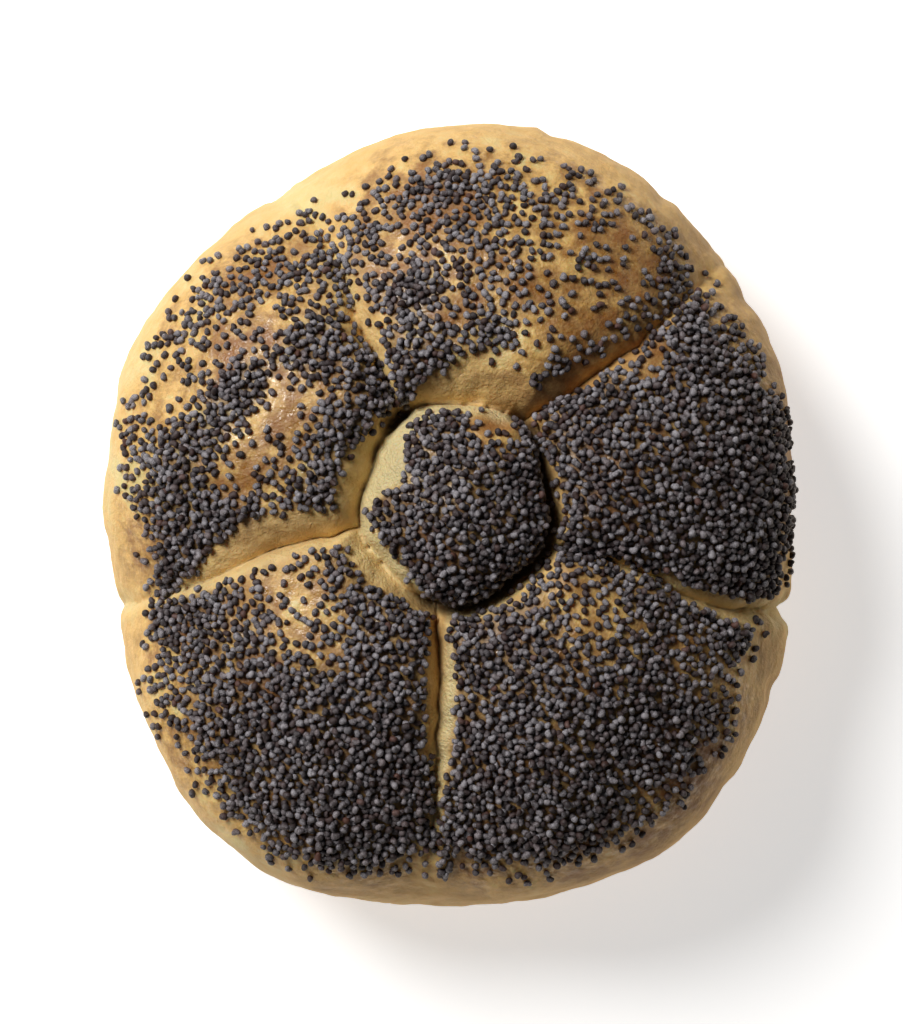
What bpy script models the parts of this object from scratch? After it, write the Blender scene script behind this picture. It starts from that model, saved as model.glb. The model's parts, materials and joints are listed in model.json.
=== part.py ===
"""A kaiser roll: one baked piece of bread, five dough lobes curled round a centre knob.

Standalone Blender 4.5 script, in metres with +Z up. The origin is the middle of the flat underside, +Y runs
along the roll's long side, +X across it and +Z through the baked top.

The skin is a grid of rings and columns. A ring is a share of the way from the knob's middle to the rim: the
innermost are shaped like the knob, the outermost like the roll's outline. The columns follow the creases,
so that each crease is an edge of the grid. A crease is a cusp, as between two cushions pressed together.
They lie on a flat map of the skin: the top seen straight down, and the skin below the rim folded out level.
"""

import math

import bmesh
import bpy
import numpy as np

MM = 0.001

# Driving dimensions.
WIDTH = 84.6 * MM
LENGTH = 96.0 * MM
HEIGHT = 44.0 * MM
RIM_HEIGHT = 17.0 * MM  # where the roll is widest
BASE_SHARE = 0.76  # radius of the flat underside, as a share of the outline's
CROWN_FULLNESS = 2.5  # 2 is an ellipse, more is flatter on top and rounder at the shoulder

# The outline seen from above: a mean radius, and waves as (turns per round, amplitude, direction of a peak).
MEAN_RADIUS = 45.6 * MM
OUTLINE_WAVES = (
    (1, 1.2 * MM, -66.0),
    (2, 3.0 * MM, 86.0),
    (3, 0.4 * MM, -55.0),
    (4, 0.8 * MM, -35.0),
    (5, 0.6 * MM, 17.0),
)

# The centre knob: a rounded pentagon whose corners point at the creases.
KNOB_CENTRE = (1.0 * MM, 1.4 * MM)
KNOB_RADIUS = 12.1 * MM
KNOB_CORNER = 0.45 * MM
KNOB_CORNER_ANGLE = 50.0
KNOB_STRETCH = 0.5 * MM  # how much longer than wide the knob is, each way from its middle
KNOB_CREASE_DEPTH = 6.0 * MM
KNOB_CREASE_INSIDE = 6.5 * MM
KNOB_CREASE_OUTSIDE = 4.5 * MM
KNOB_LEDGE = 3.0 * MM  # how much wider the slope down to the knob is on its widest side
KNOB_LEDGE_ANGLE = 78.0

# Each crease runs from the knob to the rim, and they are listed anticlockwise. Each has its route on the map
# in mm, its depth at the knob and at the rim, and the width over which the skin rolls down into it, clockwise
# of it and anticlockwise.
CREASES = {
    "right": (
        ((11, -4), (17, -5), (23, -7), (29, -10), (35, -12), (41, -12), (47, -13)),
        (6.5 * MM, 1.8 * MM),
        (3.5 * MM, 7.0 * MM),
    ),
    "upper_right": (
        ((9, 11), (17, 16.5), (24, 21.7), (31, 28.5), (36, 32)),
        (7.0 * MM, 0.5 * MM),
        (3.5 * MM, 8.0 * MM),
    ),
    "upper_left": (
        ((-5, 10), (-8, 17), (-11.5, 25), (-14, 31.5), (-17, 36.5), (-22, 42)),
        (6.5 * MM, 0.9 * MM),
        (6.5 * MM, 4.0 * MM),
    ),
    "left": (
        ((-10, -1.5), (-16, -3), (-23, -5.2), (-30, -8.5), (-38, -11), (-45, -12.5)),
        (6.0 * MM, 1.0 * MM),
        (7.0 * MM, 3.0 * MM),
    ),
    "lower": (
        ((-1.5, -11), (-0.9, -18), (-1.3, -27), (-1.5, -35), (-2.5, -43)),
        (6.5 * MM, 1.0 * MM),
        (4.5 * MM, 4.5 * MM),
    ),
}
CREASE_END = 8.0 * MM  # the stretch over which a crease runs out
LOBE_PUFF = 2.4 * MM  # how far a lobe swells between its creases
LOBE_SHOULDER = 15.0 * MM  # distance from a crease at which a lobe is fully swollen

# The grid.
LOBE_COLUMNS = 18
KNOB_RINGS = 7
RINGS = 36
EDGE_CROWDING = 0.4  # how much closer the columns are at a lobe's edges
ROUTE_STEPS = 240
PROFILE_STEPS = 240

CRUST_COLOUR = (0.50, 0.31, 0.13, 1.0)
CRUST_ROUGHNESS = 0.45


def outline(angle):
    """Radius of the roll's outline in each direction: the mean radius plus each wave's cosine."""
    radius = np.full_like(angle, MEAN_RADIUS)
    for turns, amplitude, peak in OUTLINE_WAVES:
        radius += amplitude * np.cos(turns * (angle - math.radians(peak)))
    return radius


def knob_outline(angle):
    """Radius of the knob in each direction: a circle, plus a cosine with five peaks, less one with two."""
    corners = KNOB_CORNER * np.cos(5 * (angle - math.radians(KNOB_CORNER_ANGLE)))
    return KNOB_RADIUS + corners - KNOB_STRETCH * np.cos(2 * angle)


def smooth_step(value, start, end):
    """0 before start, 1 after end, and an S curve between them."""
    t = np.clip((value - start) / (end - start), 0, 1)
    return t * t * (3 - 2 * t)


def profile(rings):
    """Share of the way to the rim, height, and distance below the rim, of each ring.

    Above the rim the profile is a quarter of a superellipse, and below it a quarter of an ellipse that ends
    at the underside's edge. The rings are equally spaced inside the knob's crease, and again outside it.
    """
    turn = np.linspace(0, math.pi / 2, PROFILE_STEPS)
    above = np.sin(turn) ** (2 / CROWN_FULLNESS), RIM_HEIGHT + (HEIGHT - RIM_HEIGHT) * np.cos(turn)
    below = BASE_SHARE + (1 - BASE_SHARE) * np.cos(turn), RIM_HEIGHT * (1 - np.sin(turn))
    share, height = (np.concatenate([a, b[1:]]) for a, b in zip(above, below))
    steps = np.hypot(np.diff(share * MEAN_RADIUS), np.diff(height))
    length = np.concatenate([[0.0], np.cumsum(steps)])
    under = np.maximum(length - length[PROFILE_STEPS - 1], 0)
    knob_length = np.interp(KNOB_RADIUS / MEAN_RADIUS, above[0], length[:PROFILE_STEPS])
    at = np.interp(rings, [0, KNOB_RINGS, RINGS - 1], [0, knob_length, length[-1]])
    return np.interp(at, length, share), np.interp(at, length, height), np.interp(at, length, under)


def ring_shape(share, angle):
    """Middle (x, y) and radius of a ring in a direction: at first the knob's, then ever more the rim's."""
    outer = smooth_step(share, KNOB_RADIUS / MEAN_RADIUS, 0.9)
    knob = knob_outline(angle) * MEAN_RADIUS / KNOB_RADIUS
    radius = share * (outline(angle) * outer + knob * (1 - outer))
    return KNOB_CENTRE[0] * (1 - outer), KNOB_CENTRE[1] * (1 - outer), radius


def smooth_route(points):
    """A smooth curve through the points: a cubic between each two, with slopes from their neighbours."""
    points = np.array(points, float) * MM
    padded = np.concatenate([[2 * points[0] - points[1]], points, [2 * points[-1] - points[-2]]])
    at = np.linspace(0, len(points) - 1, ROUTE_STEPS)
    first = np.minimum(at.astype(int), len(points) - 2)
    t = (at - first)[:, None]
    a, b, c, d = (padded[first + k] for k in range(4))
    return b + t * (c - a) / 2 + t**2 * (a - 2.5 * b + 2 * c - d / 2) + t**3 * (1.5 * (b - c) + (d - a) / 2)


def crossing_angles(share, line):
    """Direction in which each ring crosses a crease. Inside the knob and below the rim it stays the same."""
    share = np.clip(share, KNOB_RADIUS / MEAN_RADIUS, 1)[:, None]
    middle_x, middle_y, _ = ring_shape(share, np.zeros(1))
    away_x, away_y = line[:, 0] - middle_x, line[:, 1] - middle_y
    angle = np.unwrap(np.arctan2(away_y, away_x), axis=1)
    beyond = np.hypot(away_x, away_y) - ring_shape(share, angle)[2]
    rows = np.arange(len(share))
    last = np.clip((beyond < 0).sum(1) - 1, 0, ROUTE_STEPS - 2)
    before, after = beyond[rows, last], beyond[rows, last + 1]
    t = np.clip(-before / (after - before), 0, 1)
    return angle[rows, last] * (1 - t) + angle[rows, last + 1] * t


def directions(columns, rings):
    """Direction of each grid place: the columns lie between the creases, closer at a lobe's edges."""
    share = profile(np.arange(RINGS))[0]
    rim = share.argmax()
    share[rim:] = 1
    edges = np.stack([crossing_angles(share, smooth_route(route)) for route, _, _ in CREASES.values()], 1)
    edges = np.unwrap(np.concatenate([edges, edges[:, :1]], 1), axis=1)
    lobe, column = np.divmod(columns, LOBE_COLUMNS)
    part = column / LOBE_COLUMNS
    part -= EDGE_CROWDING * np.sin(2 * math.pi * part) / (2 * math.pi)
    return edges[rings, lobe] * (1 - part) + edges[rings, lobe + 1] * part


def pressed(distance, width):
    """Depth of a cushion's edge, from 1 in the cusp to 0 at width: a quarter circle, upright in the cusp."""
    rise = 1 - np.clip(distance / width, 0, 1)
    return 1 - np.sqrt(1 - rise**2)


def crease_depth(x, y, route, depths, widths):
    """Depth of one crease, and the distance from it, at each place on the map."""
    line = smooth_route(route)
    gap = np.hypot(x[:, None] - line[:, 0], y[:, None] - line[:, 1])
    nearest = gap.argmin(1)
    distance = gap[np.arange(len(x)), nearest]
    heading = np.gradient(line, axis=0)[nearest]
    side = heading[:, 0] * (y - line[nearest, 1]) - heading[:, 1] * (x - line[nearest, 0])
    length = np.concatenate([[0], np.cumsum(np.hypot(*np.diff(line, axis=0).T))])
    gone = length[nearest] / length[-1]
    depth = depths[0] + (depths[1] - depths[0]) * gone
    depth *= 1 - smooth_step(length[nearest], length[-1] - CREASE_END, length[-1])
    return depth * pressed(distance, np.where(side > 0, widths[1], widths[0])), distance


def relief(x, y, above_rim):
    """How far the skin stands out from the plain dome at each place on the map: swollen lobes, less creases.

    The lobes' swelling dies away towards the rim. The creases are added as powers, so that where two meet
    the deeper one wins and no edge is left between them.
    """
    knob_x, knob_y = x - KNOB_CENTRE[0], y - KNOB_CENTRE[1]
    angle = np.arctan2(knob_y, knob_x)
    outside = np.hypot(knob_x, knob_y) - knob_outline(angle)
    ledge = KNOB_LEDGE * np.maximum(np.cos(angle - math.radians(KNOB_LEDGE_ANGLE)), 0) ** 3
    ring_width = np.where(outside > 0, KNOB_CREASE_OUTSIDE + ledge, KNOB_CREASE_INSIDE)
    sunk = [KNOB_CREASE_DEPTH * pressed(np.abs(outside), ring_width)]
    nearest = np.abs(outside)
    for route, depths, widths in CREASES.values():
        depth, distance = crease_depth(x, y, route, depths, widths)
        sunk.append(np.where(outside > 0, depth, 0))
        nearest = np.minimum(nearest, distance)
    puff = LOBE_PUFF * smooth_step(nearest, 0, LOBE_SHOULDER) * smooth_step(above_rim, 0, 0.6)
    return puff - (np.array(sunk) ** 4).sum(0) ** 0.25


def skin(columns, rings):
    """Points of the skin at each grid place: the plain dome, moved along its own normal by the relief."""
    share, height, under = profile(rings)
    angle = directions(columns, rings)
    middle_x, middle_y, radius = ring_shape(share, angle)
    out_x, out_y = np.cos(angle), np.sin(angle)
    above_rim = (height - RIM_HEIGHT) / (HEIGHT - RIM_HEIGHT)
    below = under > 0
    sideways = np.where(
        below,
        2 * (share - BASE_SHARE) / (1 - BASE_SHARE) ** 2,
        CROWN_FULLNESS * share ** (CROWN_FULLNESS - 1),
    )
    sideways /= MEAN_RADIUS
    upwards = 2 * np.where(below, (height - RIM_HEIGHT) / RIM_HEIGHT**2, above_rim / (HEIGHT - RIM_HEIGHT))
    steepness = np.hypot(sideways, upwards)
    map_radius = radius + under
    stands = relief(middle_x + map_radius * out_x, middle_y + map_radius * out_y, above_rim)
    stands *= smooth_step(height, 0, RIM_HEIGHT)
    reach = radius + stands * sideways / steepness
    return np.stack(
        [middle_x + reach * out_x, middle_y + reach * out_y, height + stands * upwards / steepness], 1
    )


def roll_mesh():
    """A sphere's rings moved to the roll's skin. The lowest ring edges the underside, one flat face.

    The roll is stretched to its stated size, and its box stands on the origin.
    """
    segments = LOBE_COLUMNS * len(CREASES)
    bm = bmesh.new()
    bmesh.ops.create_uvsphere(bm, u_segments=segments, v_segments=RINGS, radius=1.0)
    lowest = min(bm.verts, key=lambda v: v.co.z)
    bmesh.ops.dissolve_verts(bm, verts=[lowest])
    places = np.array([v.co for v in bm.verts])
    turns = np.arctan2(places[:, 1], places[:, 0]) / (2 * math.pi)
    columns = np.rint(turns * segments).astype(int) % segments
    rings = np.rint(np.arccos(np.clip(places[:, 2], -1, 1)) / math.pi * RINGS).astype(int)
    points = skin(columns, rings)
    points *= np.array([WIDTH, LENGTH, HEIGHT]) / np.ptp(points, axis=0)
    points[:, :2] -= (points[:, :2].max(0) + points[:, :2].min(0)) / 2
    points[rings == RINGS - 1, 2] = 0
    for vert, point in zip(bm.verts, points):
        vert.co = point
    bmesh.ops.recalc_face_normals(bm, faces=bm.faces)
    mesh = bpy.data.meshes.new("roll")
    bm.to_mesh(mesh)
    bm.free()
    mesh.shade_smooth()
    mesh.set_sharp_from_angle(angle=math.radians(50))
    return mesh


def crust_material():
    """Thin baked crust: golden brown with a dull gloss."""
    material = bpy.data.materials.new("crust")
    material.use_nodes = True
    shader = material.node_tree.nodes["Principled BSDF"]
    shader.inputs["Base Color"].default_value = CRUST_COLOUR
    shader.inputs["Roughness"].default_value = CRUST_ROUGHNESS
    shader.inputs["Metallic"].default_value = 0.0
    return material


def clear_scene():
    """Removes every object, so that the script can be run again in an open file."""
    for item in list(bpy.data.objects):
        bpy.data.objects.remove(item)


def main():
    clear_scene()
    mesh = roll_mesh()
    mesh.materials.append(crust_material())
    bpy.context.scene.collection.objects.link(bpy.data.objects.new("roll", mesh))


main()
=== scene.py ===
"""Fine look of a poppy-seed kaiser roll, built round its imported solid.

Laid out as a Blender add-on and run as a script. It makes the baked crust and the seeds strewn on each lobe.

The crust is a grid of rings and columns on the roll's skin, all sizes in metres. A ring is a share of the
way from the knob's middle to the rim: the innermost are shaped like the knob, the outermost like the outline.
The columns follow the creases, so that each crease is an edge of the grid. The creases, bare places and
patches of seed lie on a flat map of the skin: the top seen from above, and the skin below the rim folded out.
"""

import itertools
import json
import math

import bpy
import numpy as np
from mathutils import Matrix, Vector

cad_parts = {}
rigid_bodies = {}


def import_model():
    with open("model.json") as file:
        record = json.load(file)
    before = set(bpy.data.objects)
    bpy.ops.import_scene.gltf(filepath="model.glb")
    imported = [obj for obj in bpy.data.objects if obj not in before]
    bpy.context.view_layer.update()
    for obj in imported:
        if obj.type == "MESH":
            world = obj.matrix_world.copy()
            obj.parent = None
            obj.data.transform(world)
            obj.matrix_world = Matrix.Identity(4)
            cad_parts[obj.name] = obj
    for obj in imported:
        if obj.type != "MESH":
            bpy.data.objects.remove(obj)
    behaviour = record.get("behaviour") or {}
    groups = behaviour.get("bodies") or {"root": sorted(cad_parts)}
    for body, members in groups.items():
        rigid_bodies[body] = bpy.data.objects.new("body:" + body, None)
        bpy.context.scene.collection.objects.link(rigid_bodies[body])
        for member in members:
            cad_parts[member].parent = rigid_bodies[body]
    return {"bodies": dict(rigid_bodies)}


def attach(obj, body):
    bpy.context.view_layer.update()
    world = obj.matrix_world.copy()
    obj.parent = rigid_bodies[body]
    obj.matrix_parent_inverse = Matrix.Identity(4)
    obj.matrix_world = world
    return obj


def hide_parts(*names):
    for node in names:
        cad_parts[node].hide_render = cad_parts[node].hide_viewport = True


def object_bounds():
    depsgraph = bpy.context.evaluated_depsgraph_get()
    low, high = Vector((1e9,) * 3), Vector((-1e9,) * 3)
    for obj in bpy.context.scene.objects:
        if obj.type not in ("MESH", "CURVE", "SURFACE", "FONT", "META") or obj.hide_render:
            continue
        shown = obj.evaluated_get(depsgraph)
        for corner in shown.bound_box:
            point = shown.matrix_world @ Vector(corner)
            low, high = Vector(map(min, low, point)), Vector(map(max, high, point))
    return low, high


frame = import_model()
CAD_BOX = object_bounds()

bl_info = {
    "name": "Poppy-seed kaiser roll",
    "version": (1, 0, 0),
    "blender": (4, 5, 0),
    "location": "View3D > Sidebar > Kaiser Roll",
    "description": "Makes the crust and the poppy seeds of a kaiser roll",
    "category": "Add Mesh",
}

MM = 0.001
BODY = next(iter(frame["bodies"]))
BAKE_MAP = "OFBake"

# The outline seen from above: waves as (turns per round, amplitude, direction of a peak in degrees), then
# the rim's small folds and broad swells as (direction, how far out, half width in degrees).
MEAN_RADIUS = 45.6 * MM
OUTLINE_WAVES = (
    (1, 1.2 * MM, -66.0), (2, 3.0 * MM, 86.0), (3, 0.4 * MM, -55.0), (4, 0.8 * MM, -35.0),
    (5, 0.6 * MM, 17.0),
)
RIM_FOLDS = (
    (-45.6, -0.35 * MM, 2.0), (-28.5, -0.45 * MM, 1.8), (-16.3, -0.7 * MM, 1.6), (12.9, -0.5 * MM, 1.5),
    (35.9, -0.35 * MM, 1.8), (56.0, -0.4 * MM, 1.6), (77.0, 0.5 * MM, 1.2), (118.5, -0.3 * MM, 2.0),
    (195.5, -0.5 * MM, 1.8), (-56.0, 0.8 * MM, 10.0), (-21.0, 0.6 * MM, 7.0), (0.0, -0.5 * MM, 6.0),
    (29.0, 0.7 * MM, 9.0), (60.0, 0.5 * MM, 9.0), (165.0, -0.7 * MM, 8.0), (218.0, -0.6 * MM, 10.0),
)

# The knob: its middle, its five corners, its stretch along the roll, how far the slopes of its crease reach,
# and the ledge on one side where the lobe slopes farther.
KNOB_CENTRE = (1.0 * MM, 1.4 * MM)
KNOB_CORNER = 0.45 * MM
KNOB_CORNER_ANGLE = 50.0
KNOB_STRETCH = 0.5 * MM
KNOB_CREASE_INSIDE = 6.5 * MM
KNOB_CREASE_OUTSIDE = 4.5 * MM
KNOB_LEDGE = 3.0 * MM
KNOB_LEDGE_ANGLE = 78.0

# Each crease, anticlockwise: its route on the map in mm, its depth at the knob and at the rim and the power
# by which it fades between them, the width over which the skin rolls into it at the knob, clockwise of it
# and anticlockwise, and how wide the wall without seeds is on those sides, in mm, at the stations out to
# the rim. Then the stations as shares of a crease's length, the length at its end over which it fades out,
# the share of its width that it loses on its way out, and how far from it a lobe is at its full height.
CREASES = {
    "right": (
        ((11, -4), (17, -5), (23, -7), (29, -10), (35, -12), (41, -12), (47, -13)),
        (6.5 * MM, 1.6 * MM, 1.0),
        (3.5 * MM, 6.0 * MM),
        ((0, 0.5, 1.2, 1.6), (0, 0.6, 2.2, 0.7)),
    ),
    "upper_right": (
        ((9, 11), (17, 16.5), (24, 21.7), (31, 28.5), (36, 32)),
        (7.0 * MM, 0.4 * MM, 1.1),
        (3.5 * MM, 7.0 * MM),
        ((0.2, 0.9, 0.4, 0), (3.6, 1.2, 0.3, 0)),
    ),
    "upper_left": (
        ((-5, 10), (-8, 17), (-11.5, 25), (-14, 31.5), (-17, 36.5), (-22, 42)),
        (6.5 * MM, 0.4 * MM, 1.7),
        (6.0 * MM, 4.0 * MM),
        ((0, 1.9, 0, 0), (0, 0.2, 0, 0)),
    ),
    "left": (
        ((-10, -1.5), (-16, -3), (-23, -5.2), (-30, -8.5), (-38, -11), (-45, -12.5)),
        (6.0 * MM, 0.4 * MM, 1.5),
        (6.5 * MM, 2.6 * MM),
        ((2.6, 4.2, 0, 0), (0.5, 1.5, 0.5, 0)),
    ),
    "lower": (
        ((-1.5, -11), (-0.9, -18), (-1.3, -27), (-1.5, -35), (-2.5, -43)),
        (6.5 * MM, 0.6 * MM, 0.9),
        (4.2 * MM, 3.8 * MM),
        ((0.6, 2.0, 0.3, 0), (1.6, 1.7, 0.8, 0)),
    ),
}
STATIONS = (0, 1 / 3, 2 / 3, 1)
CREASE_END = 8.0 * MM
CREASE_TAPER = 0.5
LOBE_SHOULDER = 15.0 * MM

# Width in mm of the strip without seeds, at directions from the knob's middle: on the knob's edge, and on
# the lobes' ends that face it. Then the slits beside the knob: their depth, width and share by direction.
KNOB_EDGE = (
    (0, 1.2), (30, 0.9), (60, 1.0), (80, 1.4), (100, 1.8), (125, 3.0), (148, 4.9), (160, 4.8), (172, 3.0),
    (185, 1.6), (205, 2.0), (228, 2.6), (248, 1.4), (275, 0.8), (310, 1.2), (360, 1.2),
)
LOBE_ENDS = (
    (0, 1.0), (40, 0.8), (46, 0.8), (54, 3.4), (65, 5.2), (85, 5.0), (100, 2.8), (112, 0.6), (130, 1.0),
    (155, 1.8), (175, 2.4), (190, 1.8), (215, 1.6), (238, 1.2), (258, 0.8), (300, 1.0), (360, 1.0),
)
SLIT_DEPTH = 3.5 * MM
SLIT_WIDTH = 1.5 * MM
SLIT_AROUND = (
    (0, 1), (50, 1), (60, 0), (112, 0), (119, 0.8), (129, 0.8), (137, 0), (240, 0), (255, 0.8), (275, 1),
    (360, 1),
)

# The lobes, anticlockwise from the right crease, and how thickly each is strewn, from 0 to 1.
LOBES = {"right": 0.90, "top": 0.58, "left": 0.62, "lower_left": 0.86, "lower_right": 0.90}
KNOB_STREWN = 0.95

# Patches on the map where there are more or fewer seeds: x, y and radius in mm, and the change.
PATCHES = (
    (5.8, 11.4, 3.0, -1.20), (0, 38, 5.0, 0.22), (2, 43, 3.0, -0.25), (11, 40, 3.5, -0.20),
    (16, 34, 4.5, -0.20), (-6, 30, 2.5, -0.50), (27, 34, 2.5, 0.50), (6, 22, 3.0, 0.30),
    (22, 31, 4.0, -0.45), (22, 26, 3.0, -0.20), (29, 30, 4.0, 0.28), (13, 26, 3.0, -0.20),
    (2, 24, 3.5, -0.12), (-4, 26, 3.5, 0.50), (-4, 15, 5.0, 0.85), (3, 18, 2.5, 0.20), (10, 15, 2.0, 0.50),
    (18, 19, 2.5, 0.45), (23, 18, 2.5, -0.70), (10, 19, 2.5, -0.30), (15, 21, 3.5, -0.40),
    (19, 22, 2.5, -0.40), (14, 14, 2.5, 0.60), (-16, 14, 3.0, -0.35), (-11, 37, 4.0, -0.25),
    (-16, 19, 4.0, 0.62), (-14, 29, 3.5, 0.22), (-20, 22, 3.5, -0.50), (-24, 15, 3.5, 0.40),
    (-24, 29, 4.0, 0.12), (-18, 32, 3.5, -0.30), (-33, 16, 5.0, -0.26), (-30, 13, 3.0, -0.60),
    (-26, 18, 2.5, -0.55), (-22, 14, 2.5, 0.50), (-28, 10, 4.0, 0.48), (-30, 3, 4.0, 0.36),
    (-25, -2, 4.0, 0.62), (-19, 12, 4.0, -0.50), (-13, 10, 3.0, 0.55), (-24, 5, 3.5, -0.38),
    (-14, 2, 3.0, 1.00), (-31, -7, 4.0, 0.60), (0, -14, 2.5, 0.60), (-18, -7, 3.0, -0.60),
    (-38, -6, 3.0, 0.25), (-23, -8, 3.5, -0.40), (-16, -12, 4.5, -0.45), (-8, -12, 4.0, 0.10),
    (-35, -20, 5.0, -0.34), (-28, -32, 4.0, -0.20), (-22, -41, 3.0, -0.35), (-10, -30, 9.0, 0.10),
    (13, -8, 3.0, -0.10), (15, 4, 3.0, 0.25), (16, -12, 4.5, -0.34), (26, -14, 4.0, -0.25),
    (20, 3, 3.0, -0.10), (34, -10, 5.0, 0.90), (31, -15, 3.0, -0.40), (31, -22, 4.0, -0.36),
    (23, -33, 4.0, -0.35),
)

# How far from the middle the seeds reach, as a share of the outline, at directions in degrees.
STREWN_REACH = (
    (0, 0.94), (15, 0.92), (24, 0.89), (35, 0.89), (50, 0.885), (70, 0.865), (90, 0.85), (110, 0.86),
    (125, 0.875), (155, 0.885), (170, 0.86), (180, 0.83), (195, 0.86), (210, 0.885), (221, 0.86),
    (240, 0.872), (250, 0.87), (265, 0.86), (278, 0.86), (288, 0.855), (300, 0.855), (330, 0.85),
    (340, 0.89), (348, 0.93), (360, 0.94),
)
REACH_BLUR = 0.055

# Spots on the map that are browner or paler: x, y and radius in mm, and how much browner. Most are the
# crust's own colour, but the browner spots at -22, -2.5 and at 14, 15 lie on walls in shade and are painted
# shade.
TOAST_AND_PAINTED_SHADE_SPOTS = (
    (6, 11.5, 2.2, 0.40), (-5.5, 6, 1.5, 0.35), (-22, -2.5, 5.0, 0.28), (14, 15, 4.0, 0.35),
    (-17, 14, 5.0, 0.14), (-15, 8, 4.0, 0.14), (-33, 14, 7.0, -0.26), (-35, 3, 7.0, -0.20),
    (-27, 25, 4.0, -0.16), (16, 30, 6.0, 0.12), (-4, 29, 5.0, -0.20), (9, 38, 4.0, -0.20),
    (-14, 38, 4.0, -0.20), (24, 20, 3.0, 0.35), (-18, -10, 4.0, -0.12), (-27, -20, 5.0, -0.15),
    (10, -12, 4.0, -0.20), (28, 2, 5.0, -0.15), (42, 5, 8.0, 0.40), (33, 33, 8.0, 0.10),
)

# How floury the bare walls are, from 0 to 1, at directions in degrees. The floury dough is real, but its
# share is set lower on walls in shade and higher on lit walls, which partly paints their shade and light.
RAW_AND_PAINTED_LIGHT_WALLS = (
    (0, 0.2), (40, 0.0), (80, 0.15), (100, 0.2), (120, 0.2), (150, 0.35), (178, 0.3), (190, 0.15),
    (198, 0.5), (206, 0.5), (225, 0.5), (256, 0.2), (264, 0.1), (269, 0.85), (290, 0.9), (310, 0.2),
    (340, 0.4), (360, 0.2),
)
KNOB_RAW = 0.85

# How browned the crust is, from 0 to 1: in the creases, then what the crowns, the large unevenness, the
# underside and the sides near it add, and what the rim takes away. The rim is browner on the side away from
# the key light: partly real browning, partly painted shade.
TOAST = 0.44
CROWN_TOAST = 0.20
UNEVEN_TOAST = 0.16
BASE_TOAST = 0.5
SIDE_TOAST = 0.25
RIM_PALER = 0.28
BROWNED_AND_SHADED_SIDE = -10.0
BROWNED_AND_SHADED_SIDE_TOAST = 0.10

# The noise's lattice. Layers of noise as (size, share, number that starts its random values). Then how far
# a crease wanders off its route, how high, how far out and how wide its lips are ruffled, how ragged the
# rim is, and how far the underside is dished.
LATTICE = 32
LATTICE_SHIFT = 100.37
WANDER_LAYERS = ((2.2 * MM, 1, 5),), ((2.2 * MM, 1, 6),)
RUFFLE_LAYERS = ((1.3 * MM, 1, 7),)
RAGGED_LAYERS = (2.5 * MM, 1, 8), (1.2 * MM, 0.5, 9)
LUMP_LAYERS = (8 * MM, 1, 1), (3.6 * MM, 0.45, 2), (1.7 * MM, 0.16, 3)
TOAST_LAYERS = ((11 * MM, 1, 11),)
CLOUD_LAYERS = (5 * MM, 0.16, 21), (2.2 * MM, 0.16, 22)
REACH_LAYERS = ((3 * MM, 0.02, 23),)
WANDER = 0.35 * MM
RUFFLE = 0.22 * MM
LIP = 1.3 * MM
LIP_WIDTH = 1.2 * MM
RIM_RAGGED = 0.16 * MM
DIMPLE = 0.25 * MM

# The crust's grid, how much closer its columns lie at a lobe's edges, and the steps along its curves.
LOBE_COLUMNS = 98
KNOB_RINGS = 36
RIM_RINGS = 142
EDGE_RINGS = 182
RINGS = 196
EDGE_CROWDING = 0.45
ROUTE_STEPS = 200
PROFILE_STEPS = 400
BATCH = 8000

# The discs of the bake map for the top and the underside: middle and radius.
TOP_DISC = (0.38, 0.62), 0.37
UNDER_DISC = (0.79, 0.21), 0.20

# The numbers that start the random values of the strewing and of the first group of seeds. Then how strewn
# a place can be: the least and most, what no number of seeds would reach, and what clouds leave as it is.
# Then the second layer: where it lies, its share of the seeds left over, and how much farther apart.
STREWING = 7
STREWING_GROUP = 100
STREWN_LEAST = 0.02
STREWN_MOST = 0.98
STREWN_FULL = 1.06
STREWN_CLOUDED = 1.1
HEAPED_ABOVE = 0.80
HEAPED_SHARE = 0.6
HEAPED_SPACING = 1.65

# A seed's grid, the share of its length that is its bend, and the kinds of seed as (length, width and depth
# as shares of the usual length, bend as a share of the usual, dent). Then how blunt its ends are, less
# being blunter, how much thicker one end is, and the gap round its square of the bake map.
SEED_AROUND = 10
SEED_RINGS = 6
SEED_BEND = 0.10
SEED_KINDS = (
    (1.0, 0.86, 0.78, 1.0, 0.30), (0.95, 0.88, 0.82, 0.6, 0.18),
    (1.05, 0.82, 0.76, 1.2, 0.36), (0.92, 0.86, 0.72, 1.0, 0.24),
)
SEED_BLUNT = 0.78
SEED_TAPER = 0.10
SEED_MARGIN = 0.06

# How seeds vary: the spread of their size, how far they tip and how much more when heaped, and how far
# their middles stand above the crust, and more when heaped, as shares of a seed's length.
SIZE_SPREAD = 0.075
TIP = 0.26
HEAPED_TIP = 1.2
SEED_STANDS = 0.20, 0.34
HEAPED_STANDS = 0.52

# A seed's tone from dark to pale bloom: a beta curve and what it is multiplied by, and how much paler its
# top is, which is painted light on its top and painted shade on its sides. Then how reddish seeds are: the
# share of red ones, how red, and the beta curve and most of others.
TONE_CURVE = 1.3, 1.5
TONE_SPREAD = 0.8
PAINTED_TOP_LIGHT = 0.26
RED_SHARE = 0.01
RED_MOST = 0.8
RED_CURVE = 0.8, 2.4
RED_USUAL = 0.45

# How dark the crust's painted shade is between thickly strewn seeds and in the slits, and roughness, dry and
# wet.
UNDER_SEEDS_PAINTED_SHADE = 0.6
SLIT_PAINTED_SHADE = 0.85
CRUST_ROUGH = 0.64
CRUST_WET = 0.20

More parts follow.
